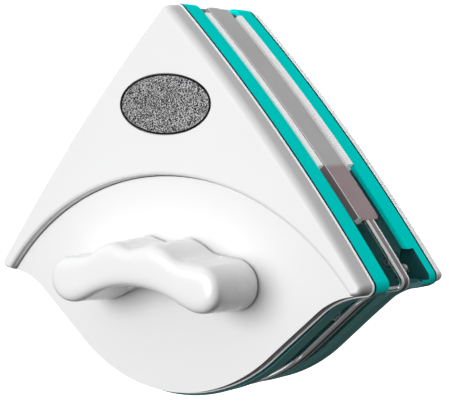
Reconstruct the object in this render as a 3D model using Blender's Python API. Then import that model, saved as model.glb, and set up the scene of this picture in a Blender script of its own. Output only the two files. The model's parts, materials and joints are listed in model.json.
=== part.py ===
"""Double-sided magnetic glass cleaner: two equal triangular halves and a clear spacer.

Frame: +X to the right, +Z up, and the pane would lie in the plane y = 0, at the level of
the two lower corners. The front half's cover faces -Y. The rear half is the same moulding,
turned half a turn about Z. A depth is a distance from the plane y = 0.
"""
import math

import bmesh
import bpy

MM = 0.001

# Outline of the body, in the XZ plane
APEX_Z = 113.9 * MM            # where the two long sides would meet
CORNER_X = 95.4 * MM           # where a long side crosses the level of the corners
SIDE_BULGE = 3.4 * MM          # how far a long side bows outwards
APEX_RADIUS = 5.0 * MM
CORNER_RADIUS = 4.0 * MM
BELLY_BOTTOM = -50.0 * MM
BELLY_RADIUS = 74.7 * MM
BELLY_SLOPE = math.radians(42.0)   # steepest slope of the lower edge
OGEE_START_X = 72.2 * MM
OGEE_RADIUS = 30.0 * MM
TAIL_SLOPE = math.radians(10.0)    # slope of the lower edge where it reaches a corner

# Layers of one half, as depths
RIM_DEPTH = 13.6 * MM
FLOOR_DEPTH = 16.6 * MM
FLOOR_THICKNESS = 2.2 * MM
BAND_DEPTH = 23.6 * MM
COVER_DEPTH = 24.8 * MM
EYE_DEPTH = 29.6 * MM
FACE_DEPTH = 33.4 * MM
HANDLE_DEPTH = 56.5 * MM
GAP = 0.3 * MM                 # clearance between touching pieces

# Shells
WALL = 2.2 * MM
EDGE_BREAK = 0.5 * MM
COVER_INSET = 0.3 * MM
BELLY_INSET = 1.0 * MM         # the cover stands back further from the band at the belly
SKIRT_INSET = 1.7 * MM
FLANK_DRAFT = 0.7 * MM
FACE_ROUND_APEX = 4.0 * MM     # how far the rolled edge of the face reaches in at the apex
FACE_ROUND_CORNER = 1.6 * MM   # the same at the lower corners
EYE_RADIUS = 110.0 * MM
EYE_TOP = 41.5 * MM

# Steps of the round stretches
BELLY_STEPS = 6
OGEE_STEPS = 4
CORNER_STEPS = 5
SIDE_STEPS = 8
APEX_STEPS = 4
ROUNDING_STEPS = 4             # a quarter turn of a rolled edge
EYE_STEPS = 128
HOLE_SEGMENTS = 10

# Badge
BADGE_Z = 70.5 * MM
BADGE_HALF_WIDTH = 23.3 * MM
BADGE_HALF_HEIGHT = 12.4 * MM
BADGE_POCKET = 0.9 * MM
BADGE_SEGMENTS = 40

# Handle
HANDLE_WALL = 3.0 * MM
HANDLE_DRAFT = 0.9 * MM
HANDLE_EDGE_IN = 5.0 * MM      # front edge rounding, across the profile
HANDLE_EDGE_DEEP = 9.0 * MM    # and along the depth
HANDLE_SCREW_X = 31.0 * MM
HANDLE_SCREW_Z = -1.2 * MM
HANDLE_POST_RADIUS = 3.6 * MM

# Wiper blades on the two long sides, and the cleaning pad
BLADE_DEPTH = 9.4 * MM
BLADE_START = 8.0 * MM         # along the side, from the apex
BLADE_LENGTH = 83.5 * MM
BLADE_OVERHANG = 0.5 * MM
BLADE_WIDTH = 6.0 * MM
BLADE_FOOT_IN = 2.6 * MM
BLADE_FOOT_OUT = 5.6 * MM
PAD_TOP = 76.0 * MM
PAD_BOTTOM = -12.0 * MM
PAD_HALF_WIDTH = 52.0 * MM
PAD_RADIUS = 9.0 * MM
PAD_DEPTH = 9.6 * MM

# Magnets, yokes and fasteners
MAGNET_RADIUS = 11.0 * MM
MAGNET_THICKNESS = 6.0 * MM
MAGNET_SEGMENTS = 24
MAGNET_PAIRS = ((24.0 * MM, 44.0 * MM), (30.0 * MM, -21.5 * MM))   # half spacing, height
YOKE_THICKNESS = 1.6 * MM
YOKE_MARGIN = 1.5 * MM
SCREW_RADIUS = 1.4 * MM
SCREW_HEAD_RADIUS = 2.7 * MM
SCREW_HEAD_HEIGHT = 1.5 * MM
SCREW_LENGTH = 6.0 * MM
SCREW_CROWN = 0.72             # flat top of the head, as a share of its radius
SCREW_TIP = 0.4                # tip of the shank, as a share of its radius
SLOT_WIDTH = 0.7 * MM
SLOT_DEPTH = 0.7 * MM
SCREW_SPOTS = (                 # x and z of the screws through the base
    ("apex", 0.0, 94.0 * MM),
    ("left", -77.0 * MM, 7.5 * MM),
    ("right", 77.0 * MM, 7.5 * MM),
    ("lower_left", -52.0 * MM, -17.0 * MM),
    ("lower_right", 52.0 * MM, -17.0 * MM),
)

# Notch and anchor for a safety cord, at the left corner seen from the cover
NOTCH_DEPTH = 18.2 * MM
NOTCH_TOP = 12.6 * MM
NOTCH_BOTTOM = 0.4 * MM
NOTCH_INNER_X = 79.6 * MM
ANCHOR_X = 83.6 * MM
ANCHOR_Z = 4.2 * MM
ANCHOR_RADIUS = 1.3 * MM
ANCHOR_HEAD_RADIUS = 2.3 * MM
ANCHOR_HEAD_HEIGHT = 1.2 * MM
ANCHOR_CROWN = 0.6             # flat top of the head, as a share of its radius
ANCHOR_TOP_DEPTH = 14.4 * MM

# Clear spacer between the halves
SPACER_WEB = 1.0 * MM          # half thickness of the plate
SPACER_RIM = 3.0 * MM          # half thickness of the rim round it
SPACER_RIM_WIDTH = 1.6 * MM
SPACER_RAIL = 7.4 * MM         # half thickness of the rails along the long sides
SPACER_RAIL_WIDTH = 3.2 * MM
SPACER_INSET = 0.3 * MM
RAIL_START = 4.0 * MM
RAIL_LENGTH = 114.0 * MM
RAIL_END_RADIUS = 2.5 * MM

TEAL = (0.0, 0.56, 0.49)
WHITE = (0.86, 0.86, 0.87)
STEEL = (0.55, 0.55, 0.57)


def clear_scene():
    for obj in list(bpy.data.objects):
        bpy.data.objects.remove(obj, do_unlink=True)


def material(name, colour, roughness, metallic=0.0, alpha=1.0):
    made = bpy.data.materials.new(name)
    made.use_nodes = True
    shader = made.node_tree.nodes["Principled BSDF"]
    shader.inputs["Base Color"].default_value = (*colour, 1.0)
    shader.inputs["Roughness"].default_value = roughness
    shader.inputs["Metallic"].default_value = metallic
    shader.inputs["Alpha"].default_value = alpha
    return made


# ---------------------------------------------------------------- outline of the body

def side_arc():
    """Centre and radius of the right-hand long side, and its angle at the apex."""
    length = math.hypot(CORNER_X, APEX_Z)
    radius = length * length / (8 * SIDE_BULGE) + SIDE_BULGE / 2
    outward = (APEX_Z / length, CORNER_X / length)
    reach = radius - SIDE_BULGE
    centre = (CORNER_X / 2 - outward[0] * reach, APEX_Z / 2 - outward[1] * reach)
    return centre, radius, math.atan2(APEX_Z - centre[1], -centre[0])


def arc(centre, radius, start, end, steps):
    """Points of an arc with the outward direction at each, as (x, z, outward_x, outward_z)."""
    sign = 1.0 if end > start else -1.0
    points = []
    for i in range(steps + 1):
        angle = start + (end - start) * i / steps
        c, s = math.cos(angle), math.sin(angle)
        points.append((centre[0] + radius * c, centre[1] + radius * s, sign * c, sign * s))
    return points


def tail_crossing(centre, radius, start):
    """Where the straight tail from start, at TAIL_SLOPE, meets the long side's circle."""
    along = (math.cos(TAIL_SLOPE), math.sin(TAIL_SLOPE))
    dx, dz = start[0] - centre[0], start[1] - centre[1]
    b = dx * along[0] + dz * along[1]
    c = dx * dx + dz * dz - radius * radius
    step = -b + math.sqrt(b * b - c)
    return start[0] + along[0] * step, start[1] + along[1] * step


def right_edge():
    """The right half of the outline, from the belly's lowest point up to the apex."""
    side_centre, side_radius, angle_apex = side_arc()
    belly_centre = (0.0, BELLY_BOTTOM + BELLY_RADIUS)
    belly_end = -math.pi / 2 + BELLY_SLOPE
    points = arc(belly_centre, BELLY_RADIUS, -math.pi / 2, belly_end, BELLY_STEPS)
    x, z = points[-1][:2]
    z += (OGEE_START_X - x) * math.tan(BELLY_SLOPE)
    ogee_centre = (OGEE_START_X + OGEE_RADIUS * math.sin(BELLY_SLOPE),
                   z - OGEE_RADIUS * math.cos(BELLY_SLOPE))
    ogee = arc(ogee_centre, OGEE_RADIUS, math.pi / 2 + BELLY_SLOPE, math.pi / 2 + TAIL_SLOPE,
               OGEE_STEPS)
    points += ogee

    corner = tail_crossing(side_centre, side_radius, ogee[-1][:2])
    angle = math.atan2(corner[1] - side_centre[1], corner[0] - side_centre[0])
    tail_normal = -math.pi / 2 + TAIL_SLOPE
    turn = angle - tail_normal
    reach = CORNER_RADIUS / math.cos(turn / 2)
    middle = (angle + tail_normal) / 2
    centre = (corner[0] - reach * math.cos(middle), corner[1] - reach * math.sin(middle))
    points += arc(centre, CORNER_RADIUS, tail_normal, angle, CORNER_STEPS)

    trim = CORNER_RADIUS * math.tan(turn / 2) / side_radius
    apex_trim = APEX_RADIUS * math.tan(math.pi / 2 - angle_apex) / side_radius
    apex_angle = angle_apex - apex_trim
    points += arc(side_centre, side_radius, angle + trim, apex_angle, SIDE_STEPS)[1:-1]

    end = side_centre[0] + side_radius * math.cos(apex_angle)
    rise = side_centre[1] + side_radius * math.sin(apex_angle)
    apex_centre = (0.0, rise - end * math.tan(apex_angle))
    radius = end / math.cos(apex_angle)
    points += arc(apex_centre, radius, apex_angle, math.pi / 2, APEX_STEPS)
    return points


def full_outline():
    """The closed outline, counter-clockwise seen from -Y, starting at the belly's lowest point."""
    right = right_edge()
    left = [(-x, z, -nx, nz) for x, z, nx, nz in reversed(right[1:-1])]
    return right + left


OUTLINE = full_outline()


def ring(depth, inset=0.0, belly=0.0):
    """The outline at a depth, moved inwards by inset, and by belly more at the belly.

    inset is a distance, or a function of the height z.
    """
    points = []
    for x, z, nx, nz in OUTLINE:
        move = inset(z) if callable(inset) else inset
        move += belly * min(1.0, max(0.0, z / BELLY_BOTTOM * 2.0))
        points.append((x - nx * move, -depth, z - nz * move))
    return points


def side_point(distance, inset):
    """A point of the right-hand long side, a distance down from the apex, moved inwards."""
    centre, radius, angle_apex = side_arc()
    angle = angle_apex - distance / radius
    reach = radius - inset
    return centre[0] + reach * math.cos(angle), centre[1] + reach * math.sin(angle)


# ---------------------------------------------------------------- mesh tools

def mesh_from(name, vertices, faces):
    mesh = bpy.data.meshes.new(name)
    bm = bmesh.new()
    made = [bm.verts.new(v) for v in vertices]
    for face in faces:
        bm.faces.new([made[i] for i in face])
    bmesh.ops.recalc_face_normals(bm, faces=bm.faces)
    bm.to_mesh(mesh)
    bm.free()
    return mesh


def loft(name, rings):
    """A closed solid through rings of equally many points, with both ends filled."""
    count = len(rings[0])
    vertices = [p for points in rings for p in points]
    faces = [list(range(count))[::-1]]
    for k in range(len(rings) - 1):
        for i in range(count):
            j = (i + 1) % count
            faces.append([k * count + i, k * count + j, (k + 1) * count + j, (k + 1) * count + i])
    last = (len(rings) - 1) * count
    faces.append(list(range(last, last + count)))
    return mesh_from(name, vertices, faces)


def prism(name, outline, near, far):
    """An outline of (x, z) points, extruded between two depths."""
    return loft(name, [[(x, -near, z) for x, z in outline], [(x, -far, z) for x, z in outline]])


def ellipse(x, z, half_width, half_height, segments):
    points = []
    for i in range(segments):
        angle = 2 * math.pi * i / segments
        points.append((x + half_width * math.cos(angle), z + half_height * math.sin(angle)))
    return points


def disc(name, x, z, radius, near, far, segments):
    return prism(name, ellipse(x, z, radius, radius, segments), near, far)


def hole(x, z, radius, near, far):
    """A cutter for a round hole between two depths."""
    return disc("hole", x, z, radius, near, far, HOLE_SEGMENTS)


def boolean(mesh, other, operation):
    """The mesh after a Boolean with another mesh, both in the same frame."""
    base = bpy.data.objects.new("base_of_boolean", mesh)
    tool = bpy.data.objects.new("tool_of_boolean", other)
    for obj in (base, tool):
        bpy.context.collection.objects.link(obj)
    modifier = base.modifiers.new("cut", "BOOLEAN")
    modifier.operation = operation
    modifier.object = tool
    graph = bpy.context.evaluated_depsgraph_get()
    result = bpy.data.meshes.new_from_object(base.evaluated_get(graph))
    result.name = mesh.name
    for obj in (base, tool):
        bpy.data.objects.remove(obj, do_unlink=True)
    return result


def minus(mesh, *tools):
    for tool in tools:
        mesh = boolean(mesh, tool, "DIFFERENCE")
    return mesh


def plus(mesh, *others):
    for other in others:
        mesh = boolean(mesh, other, "UNION")
    return mesh


def place(name, mesh, finish, parent, smooth_angle=35.0):
    """A named object that shows the mesh under a parent empty."""
    if not mesh.materials:
        mesh.materials.append(finish)
        mesh.shade_smooth()
        mesh.set_sharp_from_angle(angle=math.radians(smooth_angle))
    obj = bpy.data.objects.new(name, mesh)
    bpy.context.collection.objects.link(obj)
    obj.parent = parent
    return obj


# ---------------------------------------------------------------- pieces of one half

def quarter_turn():
    """How far a rolled edge has turned in, and how far below its top it is, as shares."""
    angles = [math.pi / 2 * i / ROUNDING_STEPS for i in range(ROUNDING_STEPS + 1)]
    return [(1 - math.cos(a), 1 - math.sin(a)) for a in angles]


def face_round(z):
    """Reach of the rolled edge of the face: wide at the apex, tight at the corners."""
    t = min(1.0, max(0.0, z / APEX_Z))
    return FACE_ROUND_CORNER + (FACE_ROUND_APEX - FACE_ROUND_CORNER) * t


def base_mesh():
    """The tray: outer band, rim towards the pane, and a recessed floor."""
    back = FLOOR_DEPTH + FLOOR_THICKNESS
    mesh = loft("base", [
        ring(FLOOR_DEPTH, WALL),
        ring(RIM_DEPTH, WALL),
        ring(RIM_DEPTH, EDGE_BREAK),
        ring(RIM_DEPTH + EDGE_BREAK, 0.0),
        ring(BAND_DEPTH - EDGE_BREAK, 0.0),
        ring(BAND_DEPTH, EDGE_BREAK),
        ring(BAND_DEPTH, WALL),
        ring(back, WALL),
    ])
    notch_outline = [(-NOTCH_INNER_X, NOTCH_BOTTOM), (-CORNER_X - WALL, NOTCH_BOTTOM),
                     (-CORNER_X - WALL, NOTCH_TOP), (-NOTCH_INNER_X - WALL, NOTCH_TOP)]
    mesh = minus(mesh, prism("notch", notch_outline, RIM_DEPTH - WALL, NOTCH_DEPTH))
    mesh = minus(mesh, hole(-ANCHOR_X, ANCHOR_Z, ANCHOR_RADIUS + GAP, RIM_DEPTH, back + WALL))
    for _, x, z in SCREW_SPOTS:
        mesh = minus(mesh, hole(x, z, SCREW_RADIUS + GAP, RIM_DEPTH, back + WALL))
    return mesh


def cover_mesh():
    """The hollow cover: rolled face above the arc, and a lower eye-shaped field below it."""
    flank = COVER_INSET + FLANK_DRAFT
    outer = [ring(COVER_DEPTH, COVER_INSET, BELLY_INSET)]
    for reach, lift in quarter_turn():
        outer.append(ring(FACE_DEPTH - FACE_ROUND_APEX * lift,
                          lambda z, r=reach: flank + r * face_round(z), BELLY_INSET))
    shell = loft("cover", outer)
    eye_z = EYE_TOP - EYE_RADIUS
    eye = disc("eye", 0.0, eye_z, EYE_RADIUS, EYE_DEPTH, FACE_DEPTH + WALL, EYE_STEPS)
    inside = loft("inside", [
        ring(COVER_DEPTH - WALL, SKIRT_INSET + WALL, BELLY_INSET),
        ring(FACE_DEPTH - WALL, SKIRT_INSET + WALL, BELLY_INSET),
    ])
    below_eye = disc("eye", 0.0, eye_z, EYE_RADIUS + WALL, EYE_DEPTH - WALL, FACE_DEPTH, EYE_STEPS)
    inside = minus(inside, below_eye)
    skirt = loft("skirt", [
        ring(COVER_DEPTH + WALL, SKIRT_INSET, BELLY_INSET),
        ring(BAND_DEPTH + GAP, SKIRT_INSET, BELLY_INSET),
    ])
    pocket_outline = ellipse(0.0, BADGE_Z, BADGE_HALF_WIDTH + GAP, BADGE_HALF_HEIGHT + GAP,
                             BADGE_SEGMENTS)
    pocket = prism("pocket", pocket_outline, FACE_DEPTH - BADGE_POCKET, FACE_DEPTH + WALL)
    mesh = minus(plus(shell, skirt), eye, inside, pocket)
    for side in (-1, 1):
        mesh = minus(mesh, hole(side * HANDLE_SCREW_X, HANDLE_SCREW_Z, SCREW_RADIUS + GAP,
                                BAND_DEPTH, FACE_DEPTH))
    return mesh


HANDLE_HALF_PROFILE = (        # half of the handle's profile, from the dip to the arch, in mm
    (0.0, 13.9), (5.0, 14.9), (10.5, 16.2), (16.5, 14.3), (23.0, 10.7), (30.0, 9.6),
    (37.5, 8.5), (42.6, 4.4), (44.2, -1.2), (42.6, -6.8), (37.6, -10.8), (31.5, -11.6),
    (25.5, -9.8), (19.0, -6.9), (10.0, -4.2), (0.0, -3.2),
)


def smooth_loop(points, steps):
    """A closed Catmull-Rom curve through points, with the outward direction at each sample."""
    samples = []
    count = len(points)
    for i in range(count):
        p0, p1, p2, p3 = (points[(i + k - 1) % count] for k in range(4))
        for j in range(steps):
            t = j / steps
            place_at, heading = [], []
            for a, b, c, d in zip(p0, p1, p2, p3):
                square, cube = 2 * a - 5 * b + 4 * c - d, 3 * b - a - 3 * c + d
                place_at.append(0.5 * (2 * b + (c - a) * t + square * t * t + cube * t ** 3))
                heading.append((c - a) + 2 * square * t + 3 * cube * t * t)
            length = math.hypot(*heading)
            samples.append((*place_at, -heading[1] / length, heading[0] / length))
    return samples


def handle_profile():
    half = [(x * MM, z * MM) for x, z in HANDLE_HALF_PROFILE]
    mirrored = [(-x, z) for x, z in reversed(half[1:-1])]
    return smooth_loop(half + mirrored, 2)


def handle_ring(profile, depth, inset):
    return [(x - nx * inset, -depth, z - nz * inset) for x, z, nx, nz in profile]


def handle_mesh():
    profile = handle_profile()
    start = EYE_DEPTH + GAP
    rings = [handle_ring(profile, start, 0.0)]
    for reach, lift in quarter_turn():
        rings.append(handle_ring(profile, HANDLE_DEPTH - HANDLE_EDGE_DEEP * lift,
                                 HANDLE_DRAFT + HANDLE_EDGE_IN * reach))
    solid = loft("handle", rings)
    cavity = loft("cavity", [
        handle_ring(profile, start - HANDLE_WALL, HANDLE_WALL),
        handle_ring(profile, HANDLE_DEPTH - HANDLE_EDGE_DEEP, HANDLE_WALL + HANDLE_DRAFT),
        handle_ring(profile, HANDLE_DEPTH - HANDLE_WALL, HANDLE_WALL + HANDLE_EDGE_IN / 2),
    ])
    mesh = minus(solid, cavity)
    for side in (-1, 1):
        x = side * HANDLE_SCREW_X
        post = disc("post", x, HANDLE_SCREW_Z, HANDLE_POST_RADIUS, start,
                    HANDLE_DEPTH - HANDLE_WALL / 2, HOLE_SEGMENTS)
        bore = hole(x, HANDLE_SCREW_Z, SCREW_RADIUS + GAP, start - WALL, start + SCREW_LENGTH)
        mesh = minus(plus(mesh, post), bore)
    return mesh


def badge_mesh():
    near = FACE_DEPTH - BADGE_POCKET + GAP
    outer = ellipse(0.0, BADGE_Z, BADGE_HALF_WIDTH, BADGE_HALF_HEIGHT, BADGE_SEGMENTS)
    inner = ellipse(0.0, BADGE_Z, BADGE_HALF_WIDTH - EDGE_BREAK, BADGE_HALF_HEIGHT - EDGE_BREAK,
                    BADGE_SEGMENTS)
    return loft("badge", [
        [(x, -near, z) for x, z in outer],
        [(x, -FACE_DEPTH, z) for x, z in outer],
        [(x, -FACE_DEPTH - GAP, z) for x, z in inner],
    ])


def stadium(half_length, radius, z):
    """A bar's outline with round ends, centred on x = 0."""
    points = []
    steps = MAGNET_SEGMENTS // 2
    for side in (1, -1):
        for i in range(steps + 1):
            angle = -math.pi / 2 + math.pi * i / steps
            points.append((side * (half_length + radius * math.cos(angle)),
                           z + side * radius * math.sin(angle)))
    return points


def yoke_mesh(half_spacing, z):
    near = FLOOR_DEPTH + FLOOR_THICKNESS + MAGNET_THICKNESS + 2 * GAP
    outline = stadium(half_spacing, MAGNET_RADIUS + YOKE_MARGIN, z)
    return prism("yoke", outline, near, near + YOKE_THICKNESS)


def magnet_mesh(x, z):
    near = FLOOR_DEPTH + FLOOR_THICKNESS + GAP
    return disc("magnet", x, z, MAGNET_RADIUS, near, near + MAGNET_THICKNESS, MAGNET_SEGMENTS)


def round_ring(x, z, radius, depth, segments=HOLE_SEGMENTS):
    return [(px, -depth, pz) for px, pz in ellipse(x, z, radius, radius, segments)]


def screw_mesh(x, z, seat):
    """A slotted pan-head screw. Its head seats at a depth, and its shank goes deeper."""
    top = seat - SCREW_HEAD_HEIGHT
    mesh = loft("screw", [
        round_ring(x, z, SCREW_CROWN * SCREW_HEAD_RADIUS, top),
        round_ring(x, z, SCREW_HEAD_RADIUS, (seat + top) / 2),
        round_ring(x, z, SCREW_HEAD_RADIUS, seat),
        round_ring(x, z, SCREW_RADIUS, seat),
        round_ring(x, z, SCREW_RADIUS, seat + SCREW_LENGTH - SCREW_RADIUS),
        round_ring(x, z, SCREW_TIP * SCREW_RADIUS, seat + SCREW_LENGTH),
    ])
    slot_outline = [(x - SCREW_HEAD_RADIUS, z - SLOT_WIDTH / 2),
                    (x + SCREW_HEAD_RADIUS, z - SLOT_WIDTH / 2),
                    (x + SCREW_HEAD_RADIUS, z + SLOT_WIDTH / 2),
                    (x - SCREW_HEAD_RADIUS, z + SLOT_WIDTH / 2)]
    return minus(mesh, prism("slot", slot_outline, top - SLOT_DEPTH, top + SLOT_DEPTH))


def anchor_mesh():
    """The post with a mushroom head that a safety cord's loop hangs on."""
    under_head = ANCHOR_TOP_DEPTH + ANCHOR_HEAD_HEIGHT
    end = FLOOR_DEPTH + FLOOR_THICKNESS + WALL
    profile = (
        (ANCHOR_RADIUS, end),
        (ANCHOR_RADIUS, under_head),
        (ANCHOR_HEAD_RADIUS, under_head),
        (ANCHOR_HEAD_RADIUS, ANCHOR_TOP_DEPTH + ANCHOR_HEAD_HEIGHT / 2),
        (ANCHOR_CROWN * ANCHOR_HEAD_RADIUS, ANCHOR_TOP_DEPTH),
    )
    return loft("anchor", [round_ring(-ANCHOR_X, ANCHOR_Z, r, depth) for r, depth in profile])


def side_sweep(name, section, start, length):
    """A section of (inset, depth) points, swept along the right-hand long side."""
    rings = []
    for i in range(SIDE_STEPS + 1):
        distance = start + length * i / SIDE_STEPS
        row = []
        for inset, depth in section:
            x, z = side_point(distance, inset)
            row.append((x, -depth, z))
        rings.append(row)
    return loft(name, rings)


def mirrored(mesh):
    """The same mesh on the other side of the plane x = 0."""
    other = mesh.copy()
    bm = bmesh.new()
    bm.from_mesh(other)
    for vertex in bm.verts:
        vertex.co.x = -vertex.co.x
    bmesh.ops.reverse_faces(bm, faces=bm.faces)
    bm.to_mesh(other)
    bm.free()
    return other


def blade_mesh():
    """A rubber wiper blade: a lip over the rim and a foot clipped inside it."""
    lip = RIM_DEPTH - GAP
    section = [
        (-BLADE_OVERHANG, lip), (-BLADE_OVERHANG, BLADE_DEPTH + EDGE_BREAK),
        (EDGE_BREAK, BLADE_DEPTH), (BLADE_WIDTH, BLADE_DEPTH), (BLADE_WIDTH, lip),
        (BLADE_FOOT_OUT, lip), (BLADE_FOOT_OUT, FLOOR_DEPTH - GAP),
        (BLADE_FOOT_IN, FLOOR_DEPTH - GAP), (BLADE_FOOT_IN, lip),
    ]
    return side_sweep("blade", section, BLADE_START, BLADE_LENGTH)


def rounded_triangle(top, bottom, half_width, radius):
    """A triangle with its point up and round corners."""
    slope = math.atan2(top - bottom, half_width)
    lower = math.pi - slope
    reach = radius / math.tan(slope / 2)
    top_reach = radius / math.cos(slope)
    points = []
    for centre, start, end in (
        ((half_width - reach, bottom + radius), -math.pi / 2, -math.pi / 2 + lower),
        ((0.0, top - top_reach), math.pi / 2 - slope, math.pi / 2 + slope),
        ((reach - half_width, bottom + radius), 1.5 * math.pi - lower, 1.5 * math.pi),
    ):
        points += [(x, z) for x, z, _, _ in arc(centre, radius, start, end, CORNER_STEPS)]
    return points


def pad_mesh():
    outline = rounded_triangle(PAD_TOP, PAD_BOTTOM, PAD_HALF_WIDTH, PAD_RADIUS)
    return prism("pad", outline, PAD_DEPTH, FLOOR_DEPTH - GAP)


def rail_section():
    return [(SPACER_INSET, -SPACER_RAIL), (SPACER_INSET, SPACER_RAIL),
            (SPACER_INSET + SPACER_RAIL_WIDTH, SPACER_RAIL),
            (SPACER_INSET + SPACER_RAIL_WIDTH, -SPACER_RAIL)]


def rail_mesh():
    """A raised rail along the right-hand long side, with its lower corners rounded."""
    straight = RAIL_LENGTH - RAIL_END_RADIUS
    stations = [(straight * i / SIDE_STEPS, SPACER_RAIL) for i in range(SIDE_STEPS)]
    stations += [(RAIL_LENGTH - RAIL_END_RADIUS * lift, SPACER_RAIL - RAIL_END_RADIUS * reach)
                 for reach, lift in quarter_turn()]
    rings = []
    for distance, half in stations:
        row = []
        for inset, depth in rail_section():
            x, z = side_point(RAIL_START + distance, inset)
            row.append((x, math.copysign(half, -depth), z))
        rings.append(row)
    return loft("rail", rings)


def spacer_mesh():
    inner = SPACER_INSET + SPACER_RIM_WIDTH
    plate = loft("spacer", [
        ring(-SPACER_WEB, inner),
        ring(-SPACER_RIM, inner),
        ring(-SPACER_RIM, SPACER_INSET + EDGE_BREAK),
        ring(-SPACER_RIM + EDGE_BREAK, SPACER_INSET),
        ring(SPACER_RIM - EDGE_BREAK, SPACER_INSET),
        ring(SPACER_RIM, SPACER_INSET + EDGE_BREAK),
        ring(SPACER_RIM, inner),
        ring(SPACER_WEB, inner),
    ])
    rail = rail_mesh()
    return plus(plate, rail, mirrored(rail))


# ---------------------------------------------------------------- assembly

def shared_meshes():
    """Each piece of a half as (name, mesh, material), in the front half's place."""
    white = material("white_gloss", WHITE, 0.22)
    teal = material("teal_plastic", TEAL, 0.4)
    grip = material("handle_white", (0.88, 0.88, 0.89), 0.25)
    inlay = material("badge_glitter", (0.12, 0.12, 0.13), 0.45, 0.3)
    yoke = material("yoke_steel", STEEL, 0.5, 1.0)
    magnet = material("magnet_nickel", (0.7, 0.69, 0.66), 0.25, 1.0)
    steel = material("screw_steel", (0.6, 0.6, 0.62), 0.35, 1.0)
    rubber = material("blade_rubber", (0.82, 0.82, 0.82), 0.6)
    cloth = material("pad_cloth", (0.84, 0.84, 0.85), 0.95)

    blade = blade_mesh()
    pieces = [
        ("cover", cover_mesh(), white),
        ("base", base_mesh(), teal),
        ("handle", handle_mesh(), grip),
        ("badge", badge_mesh(), inlay),
        ("wiper_blade_right", blade, rubber),
        ("wiper_blade_left", mirrored(blade), rubber),
        ("cleaning_pad", pad_mesh(), cloth),
        ("cord_anchor", anchor_mesh(), steel),
    ]
    for level, (half_spacing, z) in zip(("upper", "lower"), MAGNET_PAIRS):
        pieces.append((level + "_yoke", yoke_mesh(half_spacing, z), yoke))
        pieces.append((level + "_left_magnet", magnet_mesh(-half_spacing, z), magnet))
        pieces.append((level + "_right_magnet", magnet_mesh(half_spacing, z), magnet))
    for spot, x, z in SCREW_SPOTS:
        pieces.append((spot + "_screw", screw_mesh(x, z, FLOOR_DEPTH - GAP), steel))
    for name, side in (("left", -1), ("right", 1)):
        mesh = screw_mesh(side * HANDLE_SCREW_X, HANDLE_SCREW_Z, EYE_DEPTH - WALL - GAP)
        pieces.append(("handle_" + name + "_screw", mesh, steel))
    return pieces


def empty(name, turn):
    obj = bpy.data.objects.new(name, None)
    obj.rotation_euler = (0.0, 0.0, turn)
    bpy.context.collection.objects.link(obj)
    return obj


def main():
    clear_scene()
    clear = material("clear_plastic", (0.75, 0.72, 0.73), 0.1, 0.0, 0.4)
    halves = {"front": empty("front_half", 0.0), "rear": empty("rear_half", math.pi)}
    for name, mesh, finish in shared_meshes():
        for half, parent in halves.items():
            place(half + "_" + name, mesh, finish, parent)
    place("spacer", spacer_mesh(), clear, empty("spacer_slide", 0.0))


main()
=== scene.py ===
import json
import math

import bmesh
import bpy
import numpy as np
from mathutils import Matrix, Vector


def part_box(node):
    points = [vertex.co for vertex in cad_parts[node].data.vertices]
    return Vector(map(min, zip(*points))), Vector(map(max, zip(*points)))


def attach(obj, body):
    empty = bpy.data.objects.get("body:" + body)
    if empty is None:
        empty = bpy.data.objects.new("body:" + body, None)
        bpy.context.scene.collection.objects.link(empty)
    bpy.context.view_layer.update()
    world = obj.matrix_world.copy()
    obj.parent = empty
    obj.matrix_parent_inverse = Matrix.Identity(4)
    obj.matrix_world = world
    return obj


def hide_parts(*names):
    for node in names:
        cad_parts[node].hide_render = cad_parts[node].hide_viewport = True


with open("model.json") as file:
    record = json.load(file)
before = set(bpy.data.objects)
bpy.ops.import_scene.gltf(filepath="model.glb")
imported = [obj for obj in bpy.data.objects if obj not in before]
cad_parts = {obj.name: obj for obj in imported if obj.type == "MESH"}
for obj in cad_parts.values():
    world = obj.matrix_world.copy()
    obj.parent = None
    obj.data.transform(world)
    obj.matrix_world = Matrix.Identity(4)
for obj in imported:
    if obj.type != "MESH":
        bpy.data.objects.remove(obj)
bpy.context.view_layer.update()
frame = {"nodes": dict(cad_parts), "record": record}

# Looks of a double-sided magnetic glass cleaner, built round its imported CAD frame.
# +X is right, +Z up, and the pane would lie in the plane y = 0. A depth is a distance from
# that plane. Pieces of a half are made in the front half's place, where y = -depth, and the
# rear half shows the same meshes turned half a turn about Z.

MM = 0.001


def depths(node):
    """Smallest and largest depth of a node of the front half."""
    low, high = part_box(node)
    return -high.y, -low.y


# ---------------------------------------------------------------- driving dimensions

# Outline of the body in the XZ plane
APEX_Z = 113.9 * MM
CORNER_X = 95.4 * MM
SIDE_BULGE = 3.4 * MM
APEX_RADIUS = 5.0 * MM
CORNER_RADIUS = 4.0 * MM
BELLY_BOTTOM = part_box("front_base")[0].z
BELLY_RADIUS = 74.7 * MM
BELLY_SLOPE = math.radians(42.0)
OGEE_START_X = 72.2 * MM
OGEE_RADIUS = 30.0 * MM
TAIL_SLOPE = math.radians(10.0)

# Layers, as depths, from the frame
RIM_DEPTH, BAND_DEPTH = depths("front_base")
FACE_DEPTH = depths("front_cover")[1]
HANDLE_FOOT, HANDLE_DEPTH = depths("front_handle")
BADGE_SEAT, BADGE_TOP = depths("front_badge")
PAD_FACE, PAD_BACK = depths("front_cleaning_pad")
BLADE_DEPTH, BLADE_FOOT = depths("front_wiper_blade_right")
ANCHOR_TOP, ANCHOR_END = depths("front_cord_anchor")
SCREW_TOP, SCREW_END = depths("front_apex_screw")
RAIL_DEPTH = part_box("spacer")[1].y

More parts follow.
